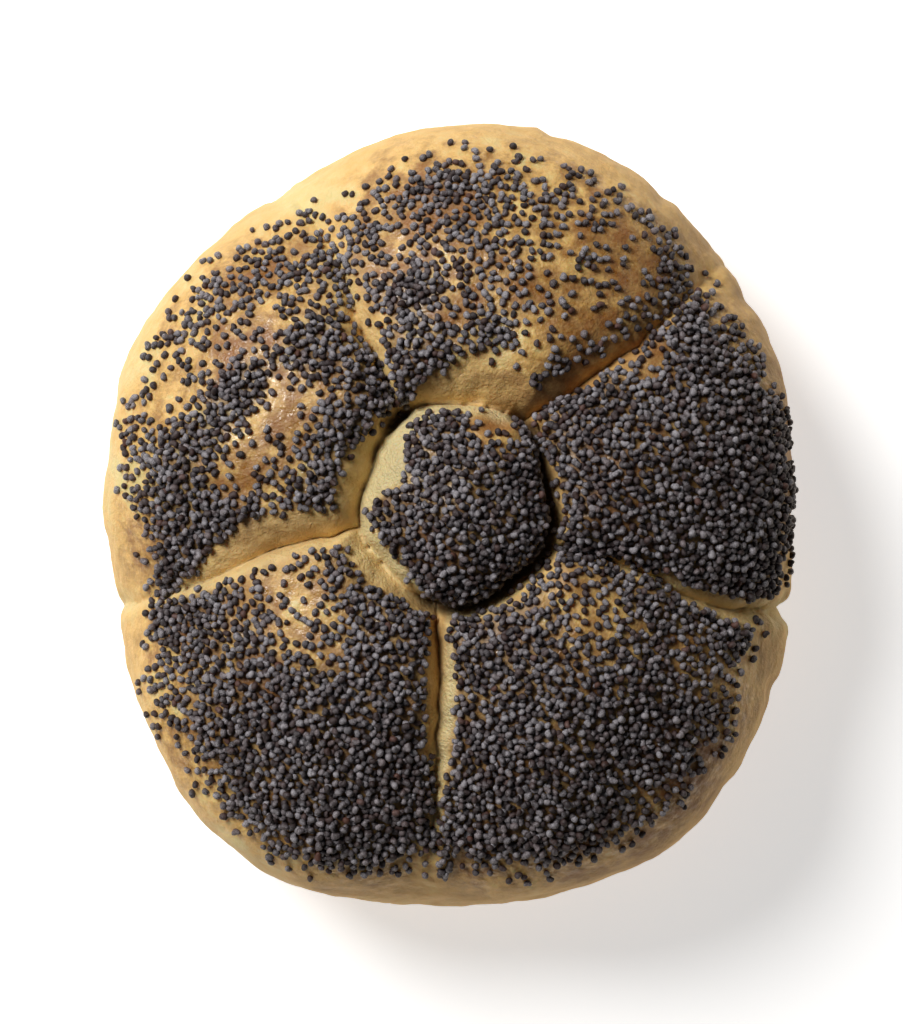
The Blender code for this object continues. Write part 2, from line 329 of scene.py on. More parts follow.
# The stage: the floor and the shade of its dust, the key light, and the backdrop that the camera sees. The
# view is given by the length that it takes in along the roll at the rim's height, and by its middle.
WHITE = 1.0, 1.0, 1.0, 1.0
FLOOR_SIDE = 4.0
FLOOR_DUST = 0.985
KEY_DISTANCE = 0.9
KEY_SIZE = 0.40
KEY_COLOUR = 1.0, 0.985, 0.96
BACKDROP = 0.9
VIEW_HEIGHT = 126.2 * MM
VIEW_MIDDLE = 0.3 * MM, 0.45 * MM
SENSOR = 36.0


# ---- sizes and colours


def length_prop(name, description, default):
    """A setting that is a length."""
    return bpy.props.FloatProperty(name=name, description=description, default=default, unit="LENGTH")


def number_prop(name, description, default):
    """A setting that is a plain number."""
    return bpy.props.FloatProperty(name=name, description=description, default=default)


def angle_prop(name, description, degrees):
    """A setting that is an angle."""
    return bpy.props.FloatProperty(
        name=name, description=description, default=math.radians(degrees), subtype="ANGLE"
    )


def colour_prop(name, description, default):
    """A setting that is a colour."""
    return bpy.props.FloatVectorProperty(
        name=name, description=description, default=default, subtype="COLOR", min=0, max=1
    )


class RollShape(bpy.types.PropertyGroup):
    rim_height: length_prop("Rim height", "Height at which the roll is widest", 0.017)
    base_share: number_prop("Base", "Radius of the flat underside as a share of the outline's", 0.76)
    fullness: number_prop("Fullness", "2 is an ellipse, more is rounder at the shoulder", 2.5)
    knob_radius: length_prop("Knob radius", "Radius of the centre knob at its crease", 0.0121)
    knob_depth: length_prop("Knob crease", "Depth of the crease round the knob", 0.006)
    puff: length_prop("Lobe puff", "How far a lobe swells between its creases", 0.0024)
    lumps: length_prop("Lumps", "Height of the soft unevenness of the crust", 0.0004)


class CrustLook(bpy.types.PropertyGroup):
    pale: colour_prop("Pale dough", "Dough that the heat hardly reached", (0.78, 0.615, 0.26))
    straw: colour_prop("Straw", "Lightly baked crust", (0.80, 0.50, 0.165))
    golden: colour_prop("Golden", "Well baked crust", (0.45, 0.24, 0.07))
    toasted: colour_prop("Toasted", "The brownest crust", (0.32, 0.13, 0.025))
    raw: colour_prop("Raw dough", "Floury dough inside the creases", (0.74, 0.63, 0.33))
    # Painted shade: the crust darkened between thickly strewn seeds and in the slits.
    stain_and_painted_shade: colour_prop("Stain", "Crust darkened under thickly strewn seed", (0.075, 0.038, 0.016))


class SeedLook(bpy.types.PropertyGroup):
    length: length_prop("Length", "Length of an average seed", 0.00099)
    spacing: length_prop("Spacing", "Least distance between seeds", 0.00067)
    amount: number_prop("Amount", "How many seeds are thrown at each square mm", 1.7)
    slate: colour_prop("Slate", "Blue-grey skin of a seed", (0.070, 0.063, 0.072))
    bloom: colour_prop("Bloom", "Pale bloom on the ridges of a seed", (0.41, 0.39, 0.42))
    umber: colour_prop("Umber", "Dark brown seed", (0.018, 0.008, 0.006))
    russet: colour_prop("Russet", "The rare reddish seed", (0.10, 0.035, 0.02))


class StageLook(bpy.types.PropertyGroup):
    floor: colour_prop("Floor", "Colour of the floor", (0.86, 0.86, 0.86))
    glow: number_prop("Floor glow", "How much paler the floor is shown than it is lit", 0.6)
    bounce: number_prop("Floor bounce", "Extra light that the floor throws up at the rim", 0.5)
    warmth: colour_prop("Bounce colour", "Colour of the light that the floor throws up", (1.0, 0.84, 0.62))
    key_power: number_prop("Key", "Power of the key light in watts", 8.1)
    key_turn: angle_prop("Key direction", "Direction that the key light comes from", 137)
    key_rise: angle_prop("Key height", "Angle of the key light above the floor", 49)
    fill: number_prop("Fill", "Strength of the light from all round", 0.036)
    lens: number_prop("Lens", "Camera's focal length in mm", 120.0)


# ---- numpy shapes


def smooth_step(value, start, end):
    """0 before start, 1 after end, and an S curve between them."""
    t = np.clip((value - start) / (end - start), 0, 1)
    return t * t * (3 - 2 * t)


def soft_noise(places, layers):
    """Smooth noise: for each layer random values on a lattice, blended by S curves along each axis."""
    total = np.zeros(places.shape[:-1])
    for size, share, seed in layers:
        table = np.random.default_rng(seed).uniform(-1, 1, (LATTICE, LATTICE, LATTICE))
        at = places / size + LATTICE_SHIFT
        cell = np.floor(at).astype(int)
        t = at - cell
        t = t * t * (3 - 2 * t)
        for corner in range(8):
            step = np.array([corner & 1, corner >> 1 & 1, corner >> 2 & 1])
            x, y, z = np.moveaxis((cell + step) % LATTICE, -1, 0)
            total += share * np.where(step, t, 1 - t).prod(-1) * table[x, y, z]
    return total


def by_direction(table, angle):
    """At each angle the value of a table of directions in degrees and values, straight between its rows."""
    return np.interp(np.degrees(angle) % 360, *np.array(table).T)


def spots(grid, table):
    """Sum of the spots of a table of x, y, radius in mm and change: each a bell curve about its middle."""
    x, y = np.moveaxis(grid["map"] / MM, -1, 0)
    total = np.zeros_like(x)
    for spot_x, spot_y, radius, change in table:
        total += change * np.exp(-((x - spot_x) ** 2 + (y - spot_y) ** 2) / radius**2)
    return total


def outline(angle):
    """Radius of the roll's outline in each direction: the mean radius plus each wave's cosine."""
    radius = np.full_like(angle, MEAN_RADIUS)
    for turns, amplitude, peak in OUTLINE_WAVES:
        radius += amplitude * np.cos(turns * (angle - math.radians(peak)))
    return radius


def knob_outline(angle, shape):
    """Radius of the knob in each direction: a circle, plus a cosine with five peaks, less one with two."""
    corners = KNOB_CORNER * np.cos(5 * (angle - math.radians(KNOB_CORNER_ANGLE)))
    return shape.knob_radius + corners - KNOB_STRETCH * np.cos(2 * angle)


def profile(rings, shape, top):
    """Share of the way to the rim, height and distance below the rim of each ring, down to the underside.

    Above the rim the profile is a quarter of a superellipse, and below it a quarter of an ellipse. The rings
    are equally spaced along it inside the knob's crease, from there to the rim, and below the rim.
    """
    turn = np.linspace(0, math.pi / 2, PROFILE_STEPS)
    rise = top - shape.rim_height
    above = np.sin(turn) ** (2 / shape.fullness), shape.rim_height + rise * np.cos(turn)
    below = shape.base_share + (1 - shape.base_share) * np.cos(turn), shape.rim_height * (1 - np.sin(turn))
    share, height = (np.concatenate([a, b[1:]]) for a, b in zip(above, below))
    length = np.concatenate([[0.0], np.cumsum(np.hypot(np.diff(share * MEAN_RADIUS), np.diff(height)))])
    rim_length = length[PROFILE_STEPS - 1]
    knob_length = np.interp(shape.knob_radius / MEAN_RADIUS, above[0], length[:PROFILE_STEPS])
    at = np.interp(rings, [0, KNOB_RINGS, RIM_RINGS, EDGE_RINGS], [0, knob_length, rim_length, length[-1]])
    under = np.maximum(length - rim_length, 0)
    return np.interp(at, length, share), np.interp(at, length, height), np.interp(at, length, under)


def ring_shape(share, angle, shape):
    """Middle (x, y) and radius of a ring in a direction: at first the knob's, then ever more the rim's."""
    outer = smooth_step(share, shape.knob_radius / MEAN_RADIUS, 0.9)
    knob = knob_outline(angle, shape) * MEAN_RADIUS / shape.knob_radius
    radius = share * (outline(angle) * outer + knob * (1 - outer))
    return KNOB_CENTRE[0] * (1 - outer), KNOB_CENTRE[1] * (1 - outer), radius


def smooth_route(points):
    """A smooth curve through the points: a cubic between each two, with slopes from their neighbours."""
    points = np.array(points, float) * MM
    padded = np.concatenate([[2 * points[0] - points[1]], points, [2 * points[-1] - points[-2]]])
    at = np.linspace(0, len(points) - 1, ROUTE_STEPS)
    first = np.minimum(at.astype(int), len(points) - 2)
    t = (at - first)[:, None]
    a, b, c, d = (padded[first + k] for k in range(4))
    return b + t * (c - a) / 2 + t**2 * (a - 2.5 * b + 2 * c - d / 2) + t**3 * (1.5 * (b - c) + (d - a) / 2)


def crossing_angles(share, line, shape):
    """Direction in which each ring crosses a crease. Inside the knob and below the rim it stays the same."""
    share = np.clip(share, shape.knob_radius / MEAN_RADIUS, 1)[:, None]
    middle_x, middle_y, _ = ring_shape(share, np.zeros(1), shape)
    away_x, away_y = line[:, 0] - middle_x, line[:, 1] - middle_y
    angle = np.unwrap(np.arctan2(away_y, away_x), axis=1)
    beyond = np.hypot(away_x, away_y) - ring_shape(share, angle, shape)[2]
    rows = np.arange(len(share))
    last = np.clip((beyond < 0).sum(1) - 1, 0, ROUTE_STEPS - 2)
    before, after = beyond[rows, last], beyond[rows, last + 1]
    t = np.clip(-before / (after - before), 0, 1)
    return angle[rows, last] * (1 - t) + angle[rows, last + 1] * t


def directions(share, shape):
    """Direction of each ring and column: the columns lie between the creases, closer at a lobe's edges."""
    share = share.copy()
    share[share.argmax() :] = 1
    lines = [smooth_route(crease[0]) for crease in CREASES.values()]
    edges = np.stack([crossing_angles(share, line, shape) for line in lines], 1)
    edges = np.unwrap(np.concatenate([edges, edges[:, :1]], 1), axis=1)
    lobe, column = np.divmod(np.arange(LOBE_COLUMNS * len(CREASES)), LOBE_COLUMNS)
    part = column / LOBE_COLUMNS
    part -= EDGE_CROWDING * np.sin(2 * math.pi * part) / (2 * math.pi)
    return edges[:, lobe] * (1 - part) + edges[:, lobe + 1] * part


def pressed(distance, width):
    """Depth of a cushion's edge, from 1 in the cusp to 0 at width: a quarter circle, upright in the cusp."""
    rise = 1 - np.clip(distance / width, 0, 1)
    return 1 - np.sqrt(1 - rise**2)


def beside(x, y, line):
    """Each place's distance from a crease's line, whether it is on its left, the share gone, the length."""
    nearest, distance = np.empty(len(x), int), np.empty(len(x))
    for part in np.array_split(np.arange(len(x)), max(1, len(x) // BATCH)):
        gap = np.hypot(x[part, None] - line[:, 0], y[part, None] - line[:, 1])
        nearest[part] = gap.argmin(1)
        distance[part] = gap.min(1)
    heading = np.gradient(line, axis=0)[nearest]
    side = heading[:, 0] * (y - line[nearest, 1]) - heading[:, 1] * (x - line[nearest, 0])
    length = np.concatenate([[0], np.cumsum(np.hypot(*np.diff(line, axis=0).T))])
    return distance, side > 0, length[nearest] / length[-1], length[-1]


def skin_fields(x, y, above_rim, shape):
    """At each place on the map: how far the skin stands out, how bare it is, the nearest crease, the slits.

    The skin stands out by the swollen lobes, less the creases. The creases are added as powers, so that where
    two meet the deeper one wins. Bare is 1 on the walls that the strewing missed and 0 elsewhere.
    """
    knob_x, knob_y = x - KNOB_CENTRE[0], y - KNOB_CENTRE[1]
    angle = np.arctan2(knob_y, knob_x)
    outside = np.hypot(knob_x, knob_y) - knob_outline(angle, shape)
    ledge = np.maximum(np.cos(angle - math.radians(KNOB_LEDGE_ANGLE)), 0) ** 3
    ring_width = np.where(outside > 0, KNOB_CREASE_OUTSIDE + KNOB_LEDGE * ledge, KNOB_CREASE_INSIDE)
    slit = SLIT_DEPTH * slit_field(outside, angle)
    sunk = [shape.knob_depth * pressed(np.abs(outside), ring_width) + slit]
    nearest = np.abs(outside)
    bare = knob_bareness(outside, angle)
    for route, depths, widths, walls in CREASES.values():
        distance, left, gone, length = beside(x, y, smooth_route(route))
        at_knob, at_rim, power = depths
        depth = at_rim + (at_knob - at_rim) * (1 - gone) ** power
        fading = 1 - smooth_step(gone * length, length - CREASE_END, length)
        width = np.where(left, widths[1], widths[0]) * (1 - CREASE_TAPER * gone)
        sunk.append(np.where(outside > 0, depth * fading * pressed(distance, width), 0))
        nearest = np.minimum(nearest, distance)
        clockwise, anticlockwise = (np.interp(gone, STATIONS, side) * MM for side in walls)
        wall = np.where(left, anticlockwise, clockwise)
        on_wall = 1 - smooth_step(distance, wall - 0.4 * MM, wall + 0.8 * MM)
        bare = np.maximum(bare, on_wall * (wall > 0.15 * MM) * (outside > 0))
    puff = shape.puff * smooth_step(nearest, 0, LOBE_SHOULDER) * smooth_step(above_rim, 0, 0.6)
    return puff - (np.array(sunk) ** 4).sum(0) ** 0.25, bare, nearest, slit / SLIT_DEPTH


def slit_field(outside, angle):
    """1 in the deep slits beside the knob, fading across them and at their ends."""
    return by_direction(SLIT_AROUND, angle) * (1 - smooth_step(np.abs(outside), 0.2 * SLIT_WIDTH, SLIT_WIDTH))


def knob_bareness(outside, angle):
    """1 on the strips without seeds round the knob: its own edge, and the lobes' ends facing it."""
    edge = np.where(outside > 0, by_direction(LOBE_ENDS, angle), by_direction(KNOB_EDGE, angle)) * MM
    return (1 - smooth_step(np.abs(outside), edge - 0.7 * MM, edge + 1.1 * MM)) * (edge > 0.3 * MM)


def crust_grid(shape):
    """The crust's rings and columns: the plain dome moved along its normal by the relief, and its underside.

    Returns arrays of one row per ring and one column per grid column: points, normals, the map's x and y, and
    fields that say where on the roll each place is. The roll is stretched to the solid's box.
    """
    low, high = (np.array(corner) for corner in CAD_BOX)
    rise = high[2] - shape.rim_height
    rings = np.arange(RINGS)
    share, height, under = profile(np.minimum(rings, EDGE_RINGS), shape, high[2])
    on_base = np.clip((rings - EDGE_RINGS) / (RINGS - EDGE_RINGS), 0, 1)
    angle = directions(share, shape)
    by_ring = share, height, under, on_base
    share, height, under, on_base = (np.broadcast_to(values[:, None], angle.shape) for values in by_ring)
    middle_x, middle_y, radius = ring_shape(share, angle, shape)
    out_x, out_y = np.cos(angle), np.sin(angle)
    above_rim = (height - shape.rim_height) / rise
    below = under > 0
    sideways_below = 2 * (share - shape.base_share) / (1 - shape.base_share) ** 2
    sideways_above = shape.fullness * share ** (shape.fullness - 1)
    sideways = np.where(below, sideways_below, sideways_above) / MEAN_RADIUS
    upwards_below = (height - shape.rim_height) / shape.rim_height**2
    upwards = 2 * np.where(below, upwards_below, above_rim / rise)
    steepness = np.hypot(sideways, upwards)
    skin_map = np.stack([middle_x + (radius + under) * out_x, middle_y + (radius + under) * out_y], -1)
    plain = np.stack([middle_x + radius * out_x, middle_y + radius * out_y, height], -1)
    stands, bare, nearest, slit = relief(plain, skin_map, above_rim, share, angle, shape)
    reach = (radius + stands * sideways / steepness) * (1 - on_base)
    lifted = height + stands * upwards / steepness
    points = np.stack([middle_x + reach * out_x, middle_y + reach * out_y, lifted], -1)
    rows = points.reshape(-1, 3)
    points = (points - rows.min(0)) * (high - low) / np.ptp(rows, axis=0) + low
    points[..., 2] = np.where(on_base > 0, DIMPLE * smooth_step(on_base, 0, 0.5), points[..., 2])
    around = np.roll(points, -1, 1) - np.roll(points, 1, 1)
    normals = np.cross(np.gradient(points, axis=0), around)
    normals /= np.maximum(np.linalg.norm(normals, axis=-1), 1e-12)[..., None]
    normals[0] = 0, 0, 1
    return {
        "points": points, "normals": normals, "map": skin_map, "angle": angle, "share": share,
        "under": under, "on_base": on_base, "bare": bare, "nearest": nearest, "slit": slit,
    }


def relief(plain, skin_map, above_rim, share, angle, shape):
    """How far the skin stands out of the plain dome, then how bare it is, its nearest crease and its slits.

    To the lobes and creases it adds a ruffle along the creases' lips, a ragged rim, soft lumps and the rim's
    folds, each a bell curve of direction. All fade to nothing at the underside.
    """
    x, y = (skin_map[..., k] + WANDER * soft_noise(plain, WANDER_LAYERS[k]) for k in (0, 1))
    fields = skin_fields(x.ravel(), y.ravel(), above_rim.ravel(), shape)
    stands, bare, nearest, slit = (values.reshape(share.shape) for values in fields)
    on_lip = np.exp(-(((nearest - LIP) / LIP_WIDTH) ** 2))
    stands = stands + RUFFLE * soft_noise(plain, RUFFLE_LAYERS) * on_lip
    stands = stands + RIM_RAGGED * soft_noise(plain, RAGGED_LAYERS) * smooth_step(share, 0.88, 0.98)
    stands = stands + shape.lumps * soft_noise(plain, LUMP_LAYERS)
    at_rim = smooth_step(share, 0.9, 0.99)
    for direction, out, width in RIM_FOLDS:
        turn = (np.degrees(angle) - direction + 180) % 360 - 180
        stands = stands + out * np.exp(-((turn / width) ** 2)) * at_rim
    return stands * smooth_step(plain[..., 2], 0, shape.rim_height), bare, nearest, slit


def seed_shape(length, width, depth, bend, dent):
    """A kidney-shaped seed: an ellipsoid along x whose middle line bends towards +y, dented inside the bend.

    One parameter goes round the long axis and one from end to end. Two poles close its ends.
    """
    along = np.linspace(0, math.pi, SEED_RINGS + 1)[1:-1, None]
    around = np.arange(SEED_AROUND)[None] * 2 * math.pi / SEED_AROUND
    x = np.cos(along) + 0 * around
    girth = np.sin(along) ** SEED_BLUNT * (1 + SEED_TAPER * x)
    girth = girth * (1 - dent * np.maximum(np.cos(around), 0) ** 2 * np.exp(-((x / 0.45) ** 2)))
    y = girth * np.cos(around) * width / 2 + bend * length * (x**2 - 0.4)
    z = girth * np.sin(around) * depth / 2
    body = np.stack([x * length / 2, y, z], -1).reshape(-1, 3)
    ends = [(length / 2, bend * length * 0.6, 0), (-length / 2, bend * length * 0.6, 0)]
    return np.concatenate([body, ends])


def grid_faces(rings, columns, first_pole, last_pole):
    """Faces of a closed grid: quads between its rings, and triangles from its end rings to the poles."""
    ring, column = (a.ravel() for a in np.meshgrid(np.arange(rings - 1), np.arange(columns), indexing="ij"))
    here, after = ring * columns + column, ring * columns + (column + 1) % columns
    quads = np.stack([here, here + columns, after + columns, after], 1)
    column = np.arange(columns)
    after = (column + 1) % columns
    last = (rings - 1) * columns
    caps = np.concatenate([
        np.stack([np.full(columns, first_pole), column, after], 1),
        np.stack([np.full(columns, last_pole), last + after, last + column], 1),
    ])
    return quads, caps


# ---- meshes


def make_piece(name, points, quads, triangles, material):
    """A smooth mesh object of these faces, which rides on the roll's body."""
    mesh = bpy.data.meshes.new(name)
    corners = np.concatenate([quads.ravel(), triangles.ravel()])
    sizes = np.concatenate([np.full(len(quads), 4), np.full(len(triangles), 3)])
    mesh.vertices.add(len(points))
    mesh.vertices.foreach_set("co", points.astype(np.float32).ravel())
    mesh.loops.add(len(corners))
    mesh.loops.foreach_set("vertex_index", corners.astype(np.int32))
    mesh.polygons.add(len(sizes))
    mesh.polygons.foreach_set("loop_start", np.concatenate([[0], np.cumsum(sizes)[:-1]]).astype(np.int32))
    mesh.update(calc_edges=True)
    mesh.validate()
    mesh.shade_smooth()
    mesh.materials.append(material)
    piece = bpy.data.objects.new(name, mesh)
    bpy.context.scene.collection.objects.link(piece)
    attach(piece, BODY)
    return piece


def add_field(mesh, name, values):
    """Stores one number per vertex for the material to read."""
    mesh.attributes.new(name, "FLOAT", "POINT").data.foreach_set("value", values.astype(np.float32))


def add_bake_map(mesh, places):
    """Stores a place on the bake map for each corner."""
    layer = mesh.uv_layers.new(name=BAKE_MAP, do_init=False)
    layer.uv.foreach_set("vector", places.astype(np.float32).ravel())


def face_corners(mesh):
    """Each corner's vertex, and each face's first corner and number of corners."""
    vertex = np.empty(len(mesh.loops), np.int32)
    mesh.loops.foreach_get("vertex_index", vertex)
    total = np.empty(len(mesh.polygons), np.int32)
    mesh.polygons.foreach_get("loop_total", total)
    return vertex, np.concatenate([[0], np.cumsum(total)[:-1]]), total


# ---- shader nodes


def new_group(name, numbers, result):
    """An empty node group that a vector and these numbers feed, and its input and output nodes."""
    group = bpy.data.node_groups.new(name, "ShaderNodeTree")
    group.interface.new_socket("Vector", in_out="INPUT", socket_type="NodeSocketVector")
    for label, default in numbers.items():
        made = group.interface.new_socket(label, in_out="INPUT", socket_type="NodeSocketFloat")
        made.default_value = default
    group.interface.new_socket(result, in_out="OUTPUT", socket_type="NodeSocketFloat")
    return group, group.nodes.new("NodeGroupInput"), group.nodes.new("NodeGroupOutput")


def feed(tree, socket, source):
    """Links another node's socket into this one, or sets it to a plain value."""
    if isinstance(source, bpy.types.NodeSocket):
        tree.links.new(source, socket)
    else:
        socket.default_value = source


def add(tree, kind, links=None, **values):
    """A node of this kind: links hold what its sockets are fed, and values its own properties."""
    node = tree.nodes.new("ShaderNode" + kind)
    for name, value in values.items():
        setattr(node, name, value)
    for name, source in (links or {}).items():
        feed(tree, node.inputs[name], source)
    return node


def maths(tree, operation, *values, **settings):
    """Result of an operation on these values, each a socket or a number."""
    return add(tree, "Math", dict(enumerate(values)), operation=operation, **settings).outputs[0]


def mix_numbers(tree, factor, first, second):
    """The first number, turned into the second by the factor."""
    return add(tree, "Mix", {"Factor": factor, "A": first, "B": second}, data_type="FLOAT").outputs[0]


def mix_colours(tree, factor, first, second):
    """The first colour, turned into the second by the factor."""
    node = add(tree, "Mix", data_type="RGBA")
    for socket, source in zip((node.inputs[0], node.inputs[6], node.inputs[7]), (factor, first, second)):
        feed(tree, socket, source)
    return node.outputs[2]


def mottle_group():
    """Cloudy patches: noise of two sizes about nought, times a strength."""
    numbers = {"Size": 0.004, "Fine share": 0.35, "Strength": 1.0}
    group, given, out = new_group("Mottle", numbers, "Value")
    place, size, fine_share, strength = (given.outputs[k] for k in range(4))
    per_metre = maths(group, "DIVIDE", 1.0, size)
    finer = maths(group, "MULTIPLY", per_metre, 5.3)
    wide = add(group, "TexNoise", {"Vector": place, "Scale": per_metre, "Detail": 3.0}).outputs[0]
    fine = add(group, "TexNoise", {"Vector": place, "Scale": finer, "Detail": 4.0}).outputs[0]
    centred = maths(group, "SUBTRACT", mix_numbers(group, fine_share, wide, fine), 0.5)
    group.links.new(maths(group, "MULTIPLY", centred, strength), out.inputs["Value"])
    return group


def grain_group():
    """Fine grain as a height from 0 to 1: rounded cells with gaps between them, mixed with noise."""
    group, given, out = new_group("Grain", {"Size": 0.0003, "Netting": 0.5}, "Height")
    place, size, netting = (given.outputs[k] for k in range(3))
    per_metre = maths(group, "DIVIDE", 1.0, size)
    cells = add(group, "TexVoronoi", {"Vector": place, "Scale": per_metre}, feature="DISTANCE_TO_EDGE")
    links = {"Value": cells.outputs["Distance"], "From Max": 0.28}
    rounded = add(group, "MapRange", links, interpolation_type="SMOOTHSTEP").outputs[0]
    noise = add(group, "TexNoise", {"Vector": place, "Scale": per_metre, "Detail": 3.0}).outputs[0]
    group.links.new(mix_numbers(group, netting, noise, rounded), out.inputs["Height"])
    return group


def finish(tree, shader, **sources):
    """Links these results to the shader's sockets of the same names."""
    for label, source in sources.items():
        tree.links.new(source, shader.inputs[label.replace("_", " ")])


def shared_group(name):
    """The shared node group of this name, made the first time that it is asked for."""
    makers = {"Mottle": mottle_group, "Grain": grain_group}
    return bpy.data.node_groups.get(name) or makers[name]()


def use_group(tree, name, place, numbers):
    """Result of a shared group in a tree, at this place on the piece and with these numbers."""
    node = add(tree, "Group", node_tree=shared_group(name))
    for label, source in {"Vector": place, **numbers}.items():
        feed(tree, node.inputs[label], source)
    return node.outputs[0]


def new_material(name, **constants):
    """A material whose shader's named sockets hold these constants, its node tree and the shader."""
    material = bpy.data.materials.new(name)
    material.use_nodes = True
    shader = material.node_tree.nodes["Principled BSDF"]
    for label, value in constants.items():
        shader.inputs[label.replace("_", " ")].default_value = value
    return material, material.node_tree, shader


def ramp(tree, value, stops):
    """Colour of a value, by stops of a place and a colour."""
    node = add(tree, "ValToRGB", {0: value})
    points = node.color_ramp.elements
    for place, _ in stops[2:]:
        points.new(place)
    for point, (place, colour) in zip(points, sorted(stops, key=lambda stop: stop[0])):
        point.position = place
        point.color = (*colour, 1.0)
    return node.outputs[0]


def field(tree, name):
    """One of the piece's own numbers, stored by add_field."""
    return add(tree, "Attribute", attribute_name=name).outputs["Fac"]


def crust_material(look):
    """Baked crust: pale in the creases, golden to toasted on the crowns, with a fine uneven gloss, and
    painted shade between thickly strewn seeds and in the slits.
    """
    spread = (0.0015, 0.0009, 0.0005)
    material, tree, shader = new_material(
        "crust", Subsurface_Weight=0.35, Subsurface_Radius=spread, Subsurface_Scale=1.0, IOR=1.7
    )
    place = add(tree, "TexCoord").outputs["Object"]
    gloss, raw = field(tree, "gloss"), field(tree, "raw")
    patches = use_group(tree, "Mottle", place, {"Size": 0.008, "Fine share": 0.15, "Strength": 1.6})
    blotches = use_group(tree, "Mottle", place, {"Size": 0.0022, "Fine share": 0.25, "Strength": 2.0})
    uneven = maths(tree, "MULTIPLY_ADD", gloss, 0.75, 0.25)
    mottled = maths(tree, "MULTIPLY", maths(tree, "ADD", patches, blotches), uneven)
    toast = maths(tree, "ADD", field(tree, "toast"), mottled)
    bakes = [(0.05, look.pale), (0.95, look.toasted), (0.35, look.straw), (0.68, look.golden)]
    baked = ramp(tree, toast, bakes)
    walls = mix_colours(tree, raw, baked, (*look.raw, 1.0))
    # Painted shade: darker between thickly strewn seeds and in the slits beside the knob.
    colour = mix_colours(tree, field(tree, "stain_and_painted_shade"), walls, (*look.stain_and_painted_shade, 1.0))
    beads = use_group(tree, "Mottle", place, {"Size": 0.0009, "Strength": 7.0})
    wet = maths(tree, "MULTIPLY", gloss, maths(tree, "ADD", beads, 0.2, use_clamp=True))
    rough = maths(tree, "MULTIPLY_ADD", wet, CRUST_WET - CRUST_ROUGH, CRUST_ROUGH)
    grain = use_group(tree, "Grain", place, {"Size": 0.0004, "Netting": 0.1})
    blister = use_group(tree, "Grain", place, {"Size": 0.0013, "Netting": 0.0})
    torn = maths(tree, "MULTIPLY_ADD", raw, 1.1, 0.35)
    height = maths(tree, "ADD", maths(tree, "MULTIPLY", grain, torn), blister)
    bump = add(tree, "Bump", {"Height": height, "Strength": 1.0, "Distance": 0.00032})
    finish(tree, shader, Base_Color=colour, Roughness=rough, Normal=bump.outputs[0])
    return material


def seed_material(look):
    """Poppy seed: slate bloom over dark brown, a few reddish, with a finely netted skin, and painted light on
    each seed's top and painted shade on its sides.
    """
    material, tree, shader = new_material("poppy_seed", IOR=1.45)
    place = add(tree, "TexCoord").outputs["Object"]
    net = use_group(tree, "Grain", place, {"Size": 0.00013, "Netting": 0.8})
    stain_and_painted_shade = use_group(tree, "Mottle", place, {"Size": 0.0005, "Fine share": 0.5, "Strength": 1.0})
    worn = maths(tree, "MULTIPLY_ADD", net, -0.8, 0.32)
    # The seed's tone, with painted light on its top and painted shade on its sides.
    bloom = maths(tree, "ADD", maths(tree, "ADD", field(tree, "tone_and_painted_top_light"), stain_and_painted_shade), worn)
    slate = ramp(tree, bloom, [(0.1, look.umber), (1.0, look.bloom), (0.5, look.slate)])
    colour = mix_colours(tree, field(tree, "rust"), slate, (*look.russet, 1.0))
    dull = maths(tree, "MULTIPLY_ADD", net, -0.2, 0.66)
    links = {"Height": net, "Strength": 0.6, "Distance": 0.00003, "Filter Width": 0.1}
    bump = add(tree, "Bump", links, invert=True)
    finish(tree, shader, Base_Color=colour, Roughness=dull, Normal=bump.outputs[0])
    return material


def floor_material(look):
    """Plain pale floor with the faintest unevenness, seen white and throwing a warm light up at the rim."""
    material, tree, shader = new_material("floor", Roughness=0.8)
    place = add(tree, "TexCoord").outputs["Object"]
    value = use_group(tree, "Mottle", place, {"Size": 0.05, "Fine share": 0.3, "Strength": 0.3})
    dusty = [part * FLOOR_DUST for part in look.floor]
    tint = ramp(tree, maths(tree, "ADD", value, 0.5), [(0.0, dusty), (1.0, look.floor)])
    seen = add(tree, "LightPath").outputs["Is Camera Ray"]
    light = mix_colours(tree, seen, (*look.warmth, 1.0), WHITE)
    strength = mix_numbers(tree, seen, look.bounce, look.glow)
    finish(tree, shader, Base_Color=tint, Emission_Color=light, Emission_Strength=strength)
    return material


# ---- crust and seeds


def toast_field(grid):
    """How browned each place is: most on the crowns and the underside, least at the left of the rim.

    The right of the rim, away from the key light, and some spots on walls in shade are made browner as
    painted shade.
    """
    toast = TOAST + CROWN_TOAST * smooth_step(grid["nearest"], 0.3 * MM, 4 * MM)
    toast += UNEVEN_TOAST * soft_noise(grid["points"], TOAST_LAYERS)
    # Painted shade in part: the rim is browner on the side away from the key light.
    towards = np.cos(grid["angle"] - math.radians(BROWNED_AND_SHADED_SIDE))
    toast += smooth_step(grid["share"], 0.80, 0.97) * (BROWNED_AND_SHADED_SIDE_TOAST * towards - RIM_PALER)
    toast += BASE_TOAST * grid["on_base"] + SIDE_TOAST * smooth_step(grid["under"], 9 * MM, 20 * MM)
    # Some of the spots are painted shade on walls that face away from the key light.
    return toast + spots(grid, TOAST_AND_PAINTED_SHADE_SPOTS)


